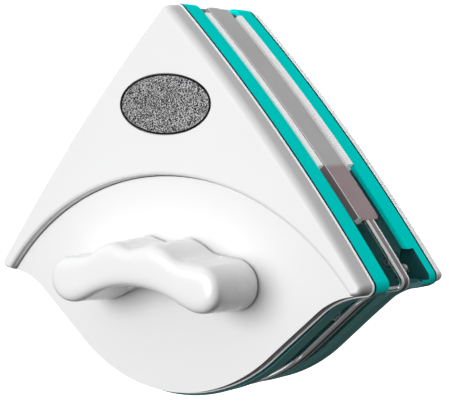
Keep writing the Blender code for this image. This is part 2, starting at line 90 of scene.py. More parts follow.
# Sizes that the boxes don't give
GAP = 0.3 * MM
WALL = 2.2 * MM
FLOOR_DEPTH = BLADE_FOOT + GAP
FLOOR_THICKNESS = 2.2 * MM
CAP_MARGIN = 1.3 * MM           # how far inside a wall a flat floor's own ring runs
COVER_DEPTH = BAND_DEPTH + 1.2 * MM
EYE_DEPTH = HANDLE_FOOT - GAP
COVER_INSET = 0.1 * MM
BELLY_INSET = 1.0 * MM
SKIRT_INSET = WALL + GAP        # the skirt laps inside the tray's wall
SKIRT_LAP = 1.0 * MM
LIP_HEIGHT = 0.5 * MM           # a lip round the cover's edge, bright with a painted highlight
LIP_STEP = 0.5 * MM
FLANK_DRAFT = 0.9 * MM
ROLL_DEPTH = 4.5 * MM
ROLL_APEX = 3.6 * MM
ROLL_CORNER = 1.8 * MM
ROLL_SWELL = 0.9 * MM
EYE_RADIUS = 110.0 * MM
EYE_TOP = 41.5 * MM
EYE_Z = EYE_TOP - EYE_RADIUS
SEAM_WIDTH = 0.45 * MM          # the fine groove at the foot of the arc step
SEAM_DEPTH = 0.8 * MM
SEAM_FADE_X = 25.0 * MM         # right of this the groove's painted shade is grey, not near black
STEP_ROUND = 2.0 * MM
FIELD_ROUND = 0.6 * MM
STEP_LINE = 0.3                 # share of the rounding that is shaded as a line
BADGE_Z = 70.5 * MM
BADGE_HALF_WIDTH = 23.3 * MM
BADGE_HALF_HEIGHT = 12.4 * MM
BADGE_POCKET = 0.9 * MM
BADGE_RIM = 0.8 * MM
BADGE_EDGE = 0.1 * MM           # rounding of the badge's outer edge
HANDLE_DRAFT = 0.9 * MM
HANDLE_CROWN = 8.0 * MM
HANDLE_SQUARENESS = 4.2         # power of the front's roll: 2 is round, more is squarer
HANDLE_END_X = 34.0 * MM
SPINE_LEVEL_X = 6.0 * MM        # the handle's spine is level out to here, then drops
SPINE_TOP_Z = 5.6 * MM
FOOT_INSET = 1.2 * MM           # the shadow gap round the grip's foot
FOOT_HEIGHT = 0.8 * MM
HANDLE_SCREW_X = 31.0 * MM
HANDLE_SCREW_Z = -1.2 * MM
SCREW_RADIUS = 1.4 * MM
SCREW_HEAD_RADIUS = 2.7 * MM
SCREW_HEAD_HEIGHT = 1.5 * MM
SCREW_LENGTH = 6.0 * MM
SCREW_RECESS = 0.9 * MM
BOSS_RADIUS = 1.6 * SCREW_HEAD_RADIUS
BOSS_RISE = 0.7 * MM
SCREW_SPOTS = {
    "apex": (0.0, 94.0 * MM),
    "left": (-77.0 * MM, 7.5 * MM),
    "right": (77.0 * MM, 7.5 * MM),
    "lower_left": (-52.0 * MM, -17.0 * MM),
    "lower_right": (52.0 * MM, -17.0 * MM),
}
NOTCH_DEPTH = 18.2 * MM
NOTCH_TOP = 12.6 * MM
NOTCH_BOTTOM = 0.4 * MM
NOTCH_INNER_X = 79.6 * MM
ANCHOR_X = 83.6 * MM
ANCHOR_Z = 4.2 * MM
ANCHOR_RADIUS = 1.3 * MM
ANCHOR_HEAD_RADIUS = 2.3 * MM
ANCHOR_HEAD_HEIGHT = 1.2 * MM
BLADE_START = 8.0 * MM
BLADE_LENGTH = 83.5 * MM
BLADE_OVERHANG = 0.5 * MM
BLADE_WIDTH = 6.0 * MM
BLADE_FOOT_IN = 2.6 * MM
BLADE_FOOT_OUT = 5.6 * MM
PAD_TOP = 76.0 * MM
PAD_BOTTOM = -12.0 * MM
PAD_HALF_WIDTH = 52.0 * MM
PAD_RADIUS = 9.0 * MM
SPACER_WEB = 1.0 * MM
SPACER_RIM = 3.0 * MM
SPACER_RIM_WIDTH = 1.6 * MM
SPACER_LINE = 1.5 * MM          # the rim's middle has painted shade out to here, painted highlights from here to its rounded edges
SPACER_INSET = 0.3 * MM
RAIL_WIDTH = 3.2 * MM
RAIL_PROUD = 0.15 * MM          # how far a rail stands out of the rim that it covers
RAIL_START = 4.0 * MM
RAIL_LENGTH = 114.0 * MM
RAIL_END_RADIUS = 2.5 * MM

# Fineness of the meshes
BELLY_STEPS, OGEE_STEPS, CORNER_STEPS, SIDE_STEPS, APEX_STEPS = 40, 14, 10, 48, 12
ROUND_STEPS = 4
ROLL_STEPS = 12
CROWN_STEPS = 22
DOME_STEPS = 8
HOLE_SEGMENTS = 32
BADGE_SEGMENTS = 96
EYE_SEGMENTS = 400
WELD = 0.01 * MM                # points closer than this can be joined


# ---------------------------------------------------------------- outline of the body

def side_arc():
    """Centre and radius of the right-hand long side, and its angle at the apex."""
    length = math.hypot(CORNER_X, APEX_Z)
    radius = length * length / (8 * SIDE_BULGE) + SIDE_BULGE / 2
    outward = (APEX_Z / length, CORNER_X / length)
    reach = radius - SIDE_BULGE
    centre = (CORNER_X / 2 - outward[0] * reach, APEX_Z / 2 - outward[1] * reach)
    return centre, radius, math.atan2(APEX_Z - centre[1], -centre[0])


def arc(centre, radius, start, end, steps):
    """Points of an arc with the outward direction at each, as (x, z, outward_x, outward_z)."""
    sign = 1.0 if end > start else -1.0
    points = []
    for i in range(steps + 1):
        angle = start + (end - start) * i / steps
        c, s = math.cos(angle), math.sin(angle)
        points.append((centre[0] + radius * c, centre[1] + radius * s, sign * c, sign * s))
    return points


def tail_crossing(centre, radius, start):
    """Where the straight tail from start, at TAIL_SLOPE, meets the long side's circle."""
    along = (math.cos(TAIL_SLOPE), math.sin(TAIL_SLOPE))
    dx, dz = start[0] - centre[0], start[1] - centre[1]
    b = dx * along[0] + dz * along[1]
    c = dx * dx + dz * dz - radius * radius
    step = -b + math.sqrt(b * b - c)
    return start[0] + along[0] * step, start[1] + along[1] * step


def right_edge():
    """The right half of the outline, from the belly's lowest point up to the apex."""
    side_centre, side_radius, angle_apex = side_arc()
    belly_centre = (0.0, BELLY_BOTTOM + BELLY_RADIUS)
    belly_end = -math.pi / 2 + BELLY_SLOPE
    points = arc(belly_centre, BELLY_RADIUS, -math.pi / 2, belly_end, BELLY_STEPS)
    x, z = points[-1][:2]
    z += (OGEE_START_X - x) * math.tan(BELLY_SLOPE)
    ogee_centre = (OGEE_START_X + OGEE_RADIUS * math.sin(BELLY_SLOPE),
                   z - OGEE_RADIUS * math.cos(BELLY_SLOPE))
    ogee = arc(ogee_centre, OGEE_RADIUS, math.pi / 2 + BELLY_SLOPE, math.pi / 2 + TAIL_SLOPE,
               OGEE_STEPS)
    points += ogee

    corner = tail_crossing(side_centre, side_radius, ogee[-1][:2])
    angle = math.atan2(corner[1] - side_centre[1], corner[0] - side_centre[0])
    tail_normal = -math.pi / 2 + TAIL_SLOPE
    turn = angle - tail_normal
    reach = CORNER_RADIUS / math.cos(turn / 2)
    middle = (angle + tail_normal) / 2
    centre = (corner[0] - reach * math.cos(middle), corner[1] - reach * math.sin(middle))
    points += arc(centre, CORNER_RADIUS, tail_normal, angle, CORNER_STEPS)

    trim = CORNER_RADIUS * math.tan(turn / 2) / side_radius
    apex_trim = APEX_RADIUS * math.tan(math.pi / 2 - angle_apex) / side_radius
    apex_angle = angle_apex - apex_trim
    points += arc(side_centre, side_radius, angle + trim, apex_angle, SIDE_STEPS)[1:-1]

    end = side_centre[0] + side_radius * math.cos(apex_angle)
    rise = side_centre[1] + side_radius * math.sin(apex_angle)
    apex_centre = (0.0, rise - end * math.tan(apex_angle))
    radius = end / math.cos(apex_angle)
    points += arc(apex_centre, radius, apex_angle, math.pi / 2, APEX_STEPS)
    return points


def full_outline():
    """The closed outline, counter-clockwise seen from -Y, starting at the belly's lowest point."""
    right = right_edge()
    left = [(-x, z, -nx, nz) for x, z, nx, nz in reversed(right[1:-1])]
    return right + left


OUTLINE = full_outline()
OUTLINE_ROWS = np.array(OUTLINE)


def nearest_edge(x, z):
    """How far inside the outline a point lies, and whether its nearest edge is the belly's."""
    gaps = OUTLINE_ROWS[:, :2] - (x, z)
    nearest = int(np.argmin((gaps * gaps).sum(axis=1)))
    outward = OUTLINE_ROWS[nearest, 2:]
    return float(gaps[nearest] @ outward), outward[1] < -0.5


def ring(depth, inset=0.0, belly=0.0):
    """The outline at a depth, moved inwards by inset, and by belly more at the belly.

    inset is a distance, or a function of the height z.
    """
    points = []
    for x, z, nx, nz in OUTLINE:
        move = inset(z) if callable(inset) else inset
        move += belly * min(1.0, max(0.0, z / BELLY_BOTTOM * 2.0))
        points.append((x - nx * move, -depth, z - nz * move))
    return points


def side_point(distance, inset):
    """A point of the right-hand long side, a distance down from the apex, moved inwards."""
    centre, radius, angle_apex = side_arc()
    angle = angle_apex - distance / radius
    reach = radius - inset
    return centre[0] + reach * math.cos(angle), centre[1] + reach * math.sin(angle)


BLADE_TOP_Z = side_point(BLADE_START, 0.0)[1]
BLADE_END_Z = side_point(BLADE_START + BLADE_LENGTH, 0.0)[1]
RAIL_END_Z = side_point(RAIL_START + RAIL_LENGTH, 0.0)[1]


# ---------------------------------------------------------------- mesh tools

def mesh_from(name, vertices, faces, weld=False):
    """A mesh with its normals outward, and with points that meet joined if weld is set."""
    mesh = bpy.data.meshes.new(name)
    mesh.from_pydata([tuple(v) for v in vertices], [], faces)
    bm = bmesh.new()
    bm.from_mesh(mesh)
    if weld:
        bmesh.ops.remove_doubles(bm, verts=bm.verts, dist=WELD)
    bmesh.ops.recalc_face_normals(bm, faces=bm.faces)
    bm.to_mesh(mesh)
    bm.free()
    return mesh


def loft(name, rings, closed=False):
    """A closed solid through rings of equally many points.

    The two ends are filled, or joined to each other if closed.
    """
    count = len(rings[0])
    vertices = [p for points in rings for p in points]
    faces = []
    spans = len(rings) if closed else len(rings) - 1
    for k in range(spans):
        a, b = k * count, (k + 1) % len(rings) * count
        for i in range(count):
            j = (i + 1) % count
            faces.append((a + i, a + j, b + j, b + i))
    if not closed:
        faces.append(tuple(reversed(range(count))))
        last = (len(rings) - 1) * count
        faces.append(tuple(range(last, last + count)))
    return mesh_from(name, vertices, faces)


def rounded(points, steps=ROUND_STEPS):
    """A section of (inset, depth, radius) points, with its inner corners rounded by the radius."""
    result = [points[0][:2]]
    for before, here, after in zip(points, points[1:], points[2:]):
        corner = Vector(here[:2])
        one, two = Vector(before[:2]) - corner, Vector(after[:2]) - corner
        reach = min(here[2], one.length * 0.49, two.length * 0.49)
        if reach < GAP / 100:
            result.append(tuple(corner))
            continue
        start = corner + one.normalized() * reach
        end = corner + two.normalized() * reach
        for i in range(steps + 1):
            t = i / steps
            result.append(tuple(start * (1 - t) ** 2 + corner * (2 * t * (1 - t)) + end * t * t))
    result.append(points[-1][:2])
    return result


def section_loft(name, section, belly=0.0, closed=False):
    """A solid whose rings follow the outline at each (inset, depth) of a section."""
    return loft(name, [ring(depth, inset, belly) for inset, depth in section], closed)


def prism(name, outline, near, far):
    """An outline of (x, z) points, extruded between two depths."""
    return loft(name, [[(x, -near, z) for x, z in outline], [(x, -far, z) for x, z in outline]])


def ellipse(x, z, half_width, half_height, segments):
    points = []
    for i in range(segments):
        angle = 2 * math.pi * i / segments
        points.append((x + half_width * math.cos(angle), z + half_height * math.sin(angle)))
    return points


def disc(name, x, z, radius, near, far, segments=HOLE_SEGMENTS):
    return prism(name, ellipse(x, z, radius, radius, segments), near, far)


def turned(name, x, z, profile, segments=HOLE_SEGMENTS):
    """A round piece with its axis along Y, from (radius, depth) points."""
    rings = []
    for radius, depth in profile:
        rings.append([(px, -depth, pz) for px, pz in ellipse(x, z, radius, radius, segments)])
    return loft(name, rings)


def boolean(mesh, other, operation):
    """The mesh after a Boolean with another mesh, both in the same frame."""
    base = bpy.data.objects.new("base_of_boolean", mesh)
    tool = bpy.data.objects.new("tool_of_boolean", other)
    for obj in (base, tool):
        bpy.context.collection.objects.link(obj)
    modifier = base.modifiers.new("cut", "BOOLEAN")
    modifier.operation = operation
    modifier.object = tool
    graph = bpy.context.evaluated_depsgraph_get()
    result = bpy.data.meshes.new_from_object(base.evaluated_get(graph))
    result.name = mesh.name
    for obj in (base, tool):
        bpy.data.objects.remove(obj, do_unlink=True)
    return result


def minus(mesh, *tools):
    for tool in tools:
        mesh = boolean(mesh, tool, "DIFFERENCE")
    return mesh


def plus(mesh, *others):
    for other in others:
        mesh = boolean(mesh, other, "UNION")
    return mesh


def bevel(mesh, chosen, width, segments):
    """Rounds the sharp convex edges for which chosen(start, end) is true."""
    bm = bmesh.new()
    bm.from_mesh(mesh)
    bmesh.ops.remove_doubles(bm, verts=bm.verts, dist=GAP / 100)
    edges = []
    for edge in bm.edges:
        if len(edge.link_faces) != 2 or not edge.is_convex:
            continue
        if edge.calc_face_angle() > math.radians(30) and chosen(edge.verts[0].co, edge.verts[1].co):
            edges.append(edge)
    bmesh.ops.bevel(bm, geom=edges, offset=width, segments=segments, profile=0.5,
                    affect="EDGES", clamp_overlap=True)
    bm.to_mesh(mesh)
    bm.free()
    return mesh


def paint(mesh, materials, choose):
    """Gives each face one of the materials: choose(centre, normal) is its number."""
    mesh.materials.clear()
    for name in materials:
        mesh.materials.append(MATERIALS[name])
    for face in mesh.polygons:
        face.material_index = choose(face.center, face.normal)
    return mesh


def mirrored(mesh):
    """The same mesh on the other side of the plane x = 0."""
    other = mesh.copy()
    bm = bmesh.new()
    bm.from_mesh(other)
    for vertex in bm.verts:
        vertex.co.x = -vertex.co.x
    bmesh.ops.reverse_faces(bm, faces=bm.faces)
    bm.to_mesh(other)
    bm.free()
    return other


# ---------------------------------------------------------------- materials

def new_material(name="finish"):
    """A material with its node tree, its Principled BSDF and its object coordinates."""
    material = bpy.data.materials.new(name)
    material.use_nodes = True
    tree = material.node_tree
    place = tree.nodes.new("ShaderNodeTexCoord")
    return material, tree, tree.nodes["Principled BSDF"], place.outputs["Object"]


def noise(tree, place, scale, detail=3.0, stretch=None):
    """A noise value. scale is in features per metre, stretch a factor for each axis."""
    if stretch:
        mapping = tree.nodes.new("ShaderNodeMapping")
        mapping.inputs["Scale"].default_value = stretch
        tree.links.new(place, mapping.inputs["Vector"])
        place = mapping.outputs["Vector"]
    node = tree.nodes.new("ShaderNodeTexNoise")
    node.inputs["Scale"].default_value = scale
    node.inputs["Detail"].default_value = detail
    tree.links.new(place, node.inputs["Vector"])
    return node.outputs["Fac"]


def between(tree, value, low, high, start=0.3, end=0.7):
    node = tree.nodes.new("ShaderNodeMapRange")
    node.inputs["From Min"].default_value = start
    node.inputs["From Max"].default_value = end
    node.inputs["To Min"].default_value = low
    node.inputs["To Max"].default_value = high
    tree.links.new(value, node.inputs["Value"])
    return node.outputs["Result"]


def ramp(tree, value, colours, socket, start=0.3, end=0.7):
    """Colours spread evenly over the value's range, into a socket."""
    node = tree.nodes.new("ShaderNodeValToRGB")
    elements = node.color_ramp.elements
    while len(elements) < len(colours):
        elements.new(0.5)
    for i, colour in enumerate(colours):
        elements[i].position = start + (end - start) * i / (len(colours) - 1)
        elements[i].color = (*colour, 1.0)
    tree.links.new(value, node.inputs["Fac"])
    tree.links.new(node.outputs["Color"], socket)


def bump(tree, shader, heights):
    """Bumps, one after another. heights is a list of (value, distance, strength)."""
    normal = None
    for value, distance, strength in heights:
        node = tree.nodes.new("ShaderNodeBump")
        node.inputs["Distance"].default_value = distance
        node.inputs["Strength"].default_value = strength
        tree.links.new(value, node.inputs["Height"])
        if normal:
            tree.links.new(normal, node.inputs["Normal"])
        normal = node.outputs["Normal"]
    tree.links.new(normal, shader.inputs["Normal"])


def add_painted_glow(shader, glow, colour=(1.0, 0.98, 0.98)):
    """Paints a faint glow into a piece as painted light: emission that brightens it though it is no
    lamp.
    """
    shader.inputs["Emission Color"].default_value = (*colour, 1.0)
    shader.inputs["Emission Strength"].default_value = glow


def moulded(colour, roughness, grain, shade=0.95, coat=0.0, specular=0.5, glow=0.0):
    """Moulded plastic: faintly cloudy colour, uneven gloss and a fine grain. A glow above zero is
    painted light.
    """
    material, tree, shader, place = new_material()
    add_painted_glow(shader, glow, colour)
    darker = tuple(c * shade for c in colour)
    ramp(tree, noise(tree, place, 25.0), (darker, colour), shader.inputs["Base Color"], 0.1, 0.9)
    gloss = noise(tree, place, 90.0, 5.0)
    tree.links.new(between(tree, gloss, roughness * 0.8, roughness * 1.2, 0.0, 1.0),
                   shader.inputs["Roughness"])
    shader.inputs["Coat Weight"].default_value = coat
    shader.inputs["Coat Roughness"].default_value = 0.12
    shader.inputs["Specular IOR Level"].default_value = specular
    shader.inputs["IOR"].default_value = 1.5
    bump(tree, shader, [(noise(tree, place, 2400.0, 2.0), grain, 0.5)])
    return material


def glowing_highlight(colour, glow):
    """A glossy near white edge with a painted glow: a painted highlight that brightens the edge
    though it is no lamp.
    """
    material, tree, shader, place = new_material()
    darker = tuple(c * 0.97 for c in colour)
    ramp(tree, noise(tree, place, 40.0), (darker, colour), shader.inputs["Base Color"])
    tree.links.new(between(tree, noise(tree, place, 120.0), 0.12, 0.2),
                   shader.inputs["Roughness"])
    add_painted_glow(shader, glow)
    return material


def glitter():
    """Flakes under clear lacquer, each with its own tone and tilt."""
    material, tree, shader, place = new_material()
    cells = tree.nodes.new("ShaderNodeTexVoronoi")
    cells.inputs["Scale"].default_value = 3200.0
    tree.links.new(place, cells.inputs["Vector"])
    tone = tree.nodes.new("ShaderNodeRGBToBW")
    tree.links.new(cells.outputs["Color"], tone.inputs["Color"])
    dark, middle, light = (0.006, 0.006, 0.006), (0.05, 0.05, 0.051), (0.62, 0.62, 0.63)
    ramp(tree, tone.outputs["Val"], (dark, middle, light), shader.inputs["Base Color"], 0.25, 0.75)
    tree.links.new(between(tree, tone.outputs["Val"], 0.6, 0.4), shader.inputs["Roughness"])
    shader.inputs["Specular IOR Level"].default_value = 0.15
    shader.inputs["Metallic"].default_value = 0.1
    bump(tree, shader, [(tone.outputs["Val"], 0.06 * MM, 0.6)])
    return material


def clear_plastic(deep, pale, roughness, transmission=0.0, glow=0.0, split_z=None):
    """Clear moulded plastic with a tint and flow lines, and a painted glow if glow is above zero.
    With split_z, deep is the lower end's colour.
    """
    material, tree, shader, place = new_material()
    value = noise(tree, place, 60.0)
    if split_z is not None:
        axes = tree.nodes.new("ShaderNodeSeparateXYZ")
        tree.links.new(place, axes.inputs["Vector"])
        value = between(tree, axes.outputs["Z"], 0.0, 1.0, split_z - MM, split_z + MM)
    ramp(tree, value, (deep, pale), shader.inputs["Base Color"], 0.1, 0.9)
    tree.links.new(between(tree, noise(tree, place, 60.0), roughness * 0.9, roughness * 1.1),
                   shader.inputs["Roughness"])
    shader.inputs["Transmission Weight"].default_value = transmission
    shader.inputs["IOR"].default_value = 1.46
    add_painted_glow(shader, glow)
    bump(tree, shader, [(noise(tree, place, 90.0, 2.0, (1.0, 1.0, 0.2)), 0.05 * MM, 0.2)])
    return material


def brushed(colour, roughness, stretch):
    """Bare or plated metal with fine lines along one axis."""
    material, tree, shader, place = new_material()
    darker = tuple(c * 0.8 for c in colour)
    ramp(tree, noise(tree, place, 90.0, 4.0), (darker, colour), shader.inputs["Base Color"])
    lines = noise(tree, place, 900.0, 4.0, stretch)
    tree.links.new(between(tree, lines, roughness * 0.75, roughness * 1.35),
                   shader.inputs["Roughness"])
    shader.inputs["Metallic"].default_value = 1.0
    bump(tree, shader, [(lines, 0.01 * MM, 0.4)])
    return material


def silicone():
    """White silicone rubber, matt, with dust-fine grain, brightened by a painted glow."""
    material, tree, shader, place = new_material()
    ramp(tree, noise(tree, place, 240.0, 4.0), ((0.9, 0.9, 0.9), (0.96, 0.96, 0.96)),
         shader.inputs["Base Color"])
    tree.links.new(between(tree, noise(tree, place, 300.0), 0.45, 0.62),
                   shader.inputs["Roughness"])
    add_painted_glow(shader, 0.26)
    bump(tree, shader, [(noise(tree, place, 2600.0, 3.0), 0.02 * MM, 0.4)])
    return material


def cloth():
    """Looped microfibre cloth."""
    material, tree, shader, place = new_material()
    loops = tree.nodes.new("ShaderNodeTexVoronoi")
    loops.inputs["Scale"].default_value = 900.0
    tree.links.new(place, loops.inputs["Vector"])
    ramp(tree, loops.outputs["Distance"], ((0.95, 0.95, 0.96), (0.74, 0.75, 0.77)),
         shader.inputs["Base Color"], 0.1, 0.75)
    tree.links.new(between(tree, noise(tree, place, 400.0), 0.85, 1.0),
                   shader.inputs["Roughness"])
    shader.inputs["Sheen Weight"].default_value = 0.4
    bump(tree, shader, [
        (noise(tree, place, 220.0, 3.0), 0.4 * MM, 0.5),
        (loops.outputs["Distance"], 0.5 * MM, 0.8),
    ])
    return material


MATERIALS = {
    "cover_white": moulded((0.88, 0.88, 0.885), 0.45, 0.002 * MM, shade=0.985, specular=0.4),
    # Painted highlight: near white colour and a glow on the cover's lip.
    "cover_lip_painted_highlight": glowing_highlight((0.97, 0.97, 0.97), 0.2),
    # Painted shade: a grey line along the arc step and in the right part of its groove.
    "cover_painted_shade_line": moulded((0.6, 0.6, 0.6), 0.4, 0.006 * MM, specular=0.3),
    # Painted shade: near black in the seams, in the arc's groove and round the grip's foot.
    "painted_shade_dark": moulded((0.07, 0.07, 0.07), 0.6, 0.006 * MM, shade=0.9, specular=0.2),
    # The teal has a faint painted glow that brightens it.
    "base_teal": moulded((0.0, 0.97, 0.9), 0.5, 0.02 * MM, shade=0.96, specular=0.0, glow=0.07),
    # Painted shade: darker teal in the tray's hollow and on the rim under the blades.
    "base_painted_shade": moulded((0.1, 0.35, 0.35), 0.6, 0.02 * MM, shade=0.9, specular=0.25),
    # Painted shade on the belly, darker and greyer teal, with a painted glow too.
    "base_belly_painted_shade": moulded((0.16, 0.4, 0.39), 0.45, 0.02 * MM, specular=0.25, glow=0.1),
    # Painted shade: near black teal in the notch and on the ledge in the seam.
    "base_deep_painted_shade": moulded((0.02, 0.15, 0.16), 0.5, 0.02 * MM, shade=0.9, specular=0.25),
    "handle_white": moulded((0.935, 0.935, 0.94), 0.26, 0.004 * MM, shade=0.985, coat=0.3),
    "badge_inlay": glitter(),
    # Painted shade: the badge's black rim stands for the shadow line round its pocket.
    "badge_rim_painted_shade": moulded((0.006, 0.006, 0.006), 0.5, 0.004 * MM, shade=0.8, specular=0.1),
    "spacer_clear": clear_plastic((0.72, 0.79, 0.79), (0.77, 0.83, 0.83), 0.04, transmission=1.0),
    # Painted shade: the rails are darker below the blades' end, with a faint painted glow.
    "spacer_rail_painted_shade": clear_plastic((0.31, 0.18, 0.2), (0.5, 0.495, 0.495), 0.5, glow=0.03,
                                 split_z=BLADE_END_Z),
    # Painted shade: the middle of the spacer's rim is dark.
    "spacer_rim_painted_shade": clear_plastic((0.22, 0.18, 0.19), (0.3, 0.26, 0.27), 0.2),
    # Painted highlight: pale colour and a glow on the spacer's rounded edges.
    "spacer_edge_painted_highlight": clear_plastic((0.88, 0.82, 0.83), (0.97, 0.93, 0.94), 0.3, glow=0.08),
    # The blades glow a little as painted light.
    "blade_rubber": silicone(),
    "pad_cloth": cloth(),
    "screw_steel": brushed((0.6, 0.6, 0.62), 0.3, (1.0, 1.0, 1.0)),
    "yoke_steel": brushed((0.55, 0.56, 0.58), 0.4, (0.05, 1.0, 1.0)),
    "magnet_nickel": brushed((0.72, 0.7, 0.66), 0.2, (1.0, 0.1, 1.0)),
}
for slot_name, finish in MATERIALS.items():
    finish.name = slot_name


# ---------------------------------------------------------------- pieces of one half

def roll(z):
    """Reach of the rolled edge of the face: tight at the corners, widest high on the sides."""
    t = min(1.0, max(0.0, z / APEX_Z))
    return ROLL_CORNER + (ROLL_APEX - ROLL_CORNER) * t + ROLL_SWELL * math.sin(math.pi * t)


def cover_shell():
    """The cover's outside, before the lower field is cut: skirt, lip, flank and rolled face."""
    crisp = 0.2 * MM
    section = rounded([
        (SKIRT_INSET, BAND_DEPTH - SKIRT_LAP, 0.0),
        (SKIRT_INSET, COVER_DEPTH, 0.15 * MM),
        (COVER_INSET, COVER_DEPTH, crisp),
        (COVER_INSET, COVER_DEPTH + LIP_HEIGHT, crisp),
        (COVER_INSET + LIP_STEP, COVER_DEPTH + LIP_HEIGHT + LIP_STEP / 2, 0.0),
    ])
    rings = [ring(depth, inset, BELLY_INSET) for inset, depth in section]
    flank = COVER_INSET + FLANK_DRAFT
    for i in range(ROLL_STEPS + 1):
        angle = math.pi / 2 * i / ROLL_STEPS
        reach, lift = 1 - math.cos(angle), 1 - math.sin(angle)
        rings.append(ring(FACE_DEPTH - ROLL_DEPTH * lift,
                          lambda z, r=reach: flank + r * roll(z), BELLY_INSET))
    return loft("cover", rings)


def field_edge(a, b):
    """True along the edge of the lower field, at the belly."""
    for point in (a, b):
        if abs(-point.y - EYE_DEPTH) > GAP / 10:
            return False
        if math.hypot(point.x, point.z - EYE_Z) > EYE_RADIUS - WALL:
            return False
    return True


def cover_mesh():
    """The hollow cover: its shell less the lower field below the arc, the inside and the holes."""
    foot = EYE_DEPTH - SEAM_DEPTH
    edge = []
    for i in range(ROLL_STEPS + 1):
        angle = math.pi / 2 * i / ROLL_STEPS
        edge.append((EYE_RADIUS + STEP_ROUND * (1 - math.cos(angle)),
                     FACE_DEPTH - STEP_ROUND * (1 - math.sin(angle))))
    eye = turned("eye", 0.0, EYE_Z, [
        (EYE_RADIUS - SEAM_WIDTH, EYE_DEPTH), (EYE_RADIUS - SEAM_WIDTH, foot), (EYE_RADIUS, foot),
        *edge, (EYE_RADIUS + STEP_ROUND, FACE_DEPTH + WALL),
    ], EYE_SEGMENTS)
    inner = SKIRT_INSET + CAP_MARGIN
    inside = section_loft("inside", [(inner, BAND_DEPTH - WALL), (inner, FACE_DEPTH - WALL)],
                          BELLY_INSET)
    below = disc("below", 0.0, EYE_Z, EYE_RADIUS + WALL, EYE_DEPTH - WALL, FACE_DEPTH,
                 EYE_SEGMENTS // 2)
    outline = ellipse(0.0, BADGE_Z, BADGE_HALF_WIDTH + GAP, BADGE_HALF_HEIGHT + GAP,
                      BADGE_SEGMENTS)
    pocket = prism("pocket", outline, FACE_DEPTH - BADGE_POCKET, FACE_DEPTH + WALL)
    mesh = minus(cover_shell(), eye, minus(inside, below), pocket)
    for side in (-1, 1):
        hole = disc("hole", side * HANDLE_SCREW_X, HANDLE_SCREW_Z, SCREW_RADIUS + GAP,
                    BAND_DEPTH, FACE_DEPTH)
        mesh = minus(mesh, hole)
    mesh = bevel(mesh, field_edge, FIELD_ROUND, ROUND_STEPS)

    def kind(centre, normal):
        """1 on the lip's painted highlight, 2 near black painted shade in the seams and the arc's
        groove, 3 a grey painted shade line on the arc step's rounding and in the groove's right
        part.
        """
        depth = -centre.y
        if depth < COVER_DEPTH + GAP / 3:
            return 2
        if depth < COVER_DEPTH + LIP_HEIGHT + LIP_STEP / 2:
            return 1
        out = math.hypot(centre.x, centre.z - EYE_Z) - EYE_RADIUS
        if depth < EYE_DEPTH - GAP / 6 and abs(out + SEAM_WIDTH / 2) < SEAM_WIDTH * 0.6:
            return 2 if centre.x < SEAM_FADE_X else 3
        return 3 if depth > EYE_DEPTH + GAP and GAP / 30 < out < STEP_ROUND * STEP_LINE else 0

    return paint(mesh, ["cover_white", "cover_lip_painted_highlight", "painted_shade_dark", "cover_painted_shade_line"], kind)


def base_mesh():
    """The tray: outer band, rim towards the pane, recessed floor with screw bosses, notch."""
    back = FLOOR_DEPTH + FLOOR_THICKNESS
    fine, soft = 0.3 * MM, 0.6 * MM
    mesh = section_loft("base", rounded([
        (WALL + CAP_MARGIN, FLOOR_DEPTH, 0.0),
        (WALL, FLOOR_DEPTH, soft),
        (WALL, RIM_DEPTH, fine),
        (0.0, RIM_DEPTH, soft),
        (0.0, BAND_DEPTH, fine),
        (WALL, BAND_DEPTH, fine),
        (WALL, back, soft),
        (WALL + CAP_MARGIN, back, 0.0),
    ]))
    notch_outline = [(-NOTCH_INNER_X, NOTCH_BOTTOM), (-CORNER_X - WALL, NOTCH_BOTTOM),
                     (-CORNER_X - WALL, NOTCH_TOP), (-NOTCH_INNER_X - WALL, NOTCH_TOP)]
    mesh = minus(mesh, prism("notch", notch_outline, RIM_DEPTH - WALL, NOTCH_DEPTH))
    for x, z in SCREW_SPOTS.values():
        boss = disc("boss", x, z, BOSS_RADIUS, FLOOR_DEPTH - BOSS_RISE, FLOOR_DEPTH + 2 * GAP)
        well = disc("well", x, z, SCREW_HEAD_RADIUS + GAP, RIM_DEPTH, FLOOR_DEPTH)
        hole = disc("hole", x, z, SCREW_RADIUS + GAP, RIM_DEPTH, back + WALL)
        mesh = minus(plus(mesh, boss), well, hole)
    hole = disc("hole", -ANCHOR_X, ANCHOR_Z, ANCHOR_RADIUS + GAP, RIM_DEPTH, back + WALL)
    mesh = minus(mesh, hole)

    def kind(centre, normal):
        """0 on the band and rim, 1 painted shade in the hollow and on the rim under the blades, 2
        painted shade on the belly, 3 darker painted shade in the notch and the seam.
        """
        inset, on_belly = nearest_edge(centre.x, centre.z)
        if inset < GAP / 2:
            return 2 if on_belly else 0
        if centre.x < GAP - NOTCH_INNER_X and NOTCH_BOTTOM - GAP < centre.z < NOTCH_TOP + GAP:
            return 3
        if -centre.y > BAND_DEPTH - fine:
            return 3
        if -centre.y > RIM_DEPTH + fine or BLADE_END_Z < centre.z < BLADE_TOP_Z:
            return 1
        return 2 if on_belly else 0

    return paint(mesh, ["base_teal", "base_painted_shade", "base_belly_painted_shade", "base_deep_painted_shade"], kind)


HANDLE_HALF_PROFILE = (        # half of the handle's profile, from the dip to the arch, in mm
    (0.0, 13.9), (5.0, 14.9), (10.5, 16.2), (16.5, 14.3), (23.0, 10.7), (30.0, 9.6),
    (37.5, 8.5), (42.6, 4.4), (44.2, -1.2), (42.6, -6.8), (37.6, -10.8), (31.5, -11.6),
    (25.5, -9.8), (19.0, -6.9), (10.0, -4.2), (0.0, -3.2),
)


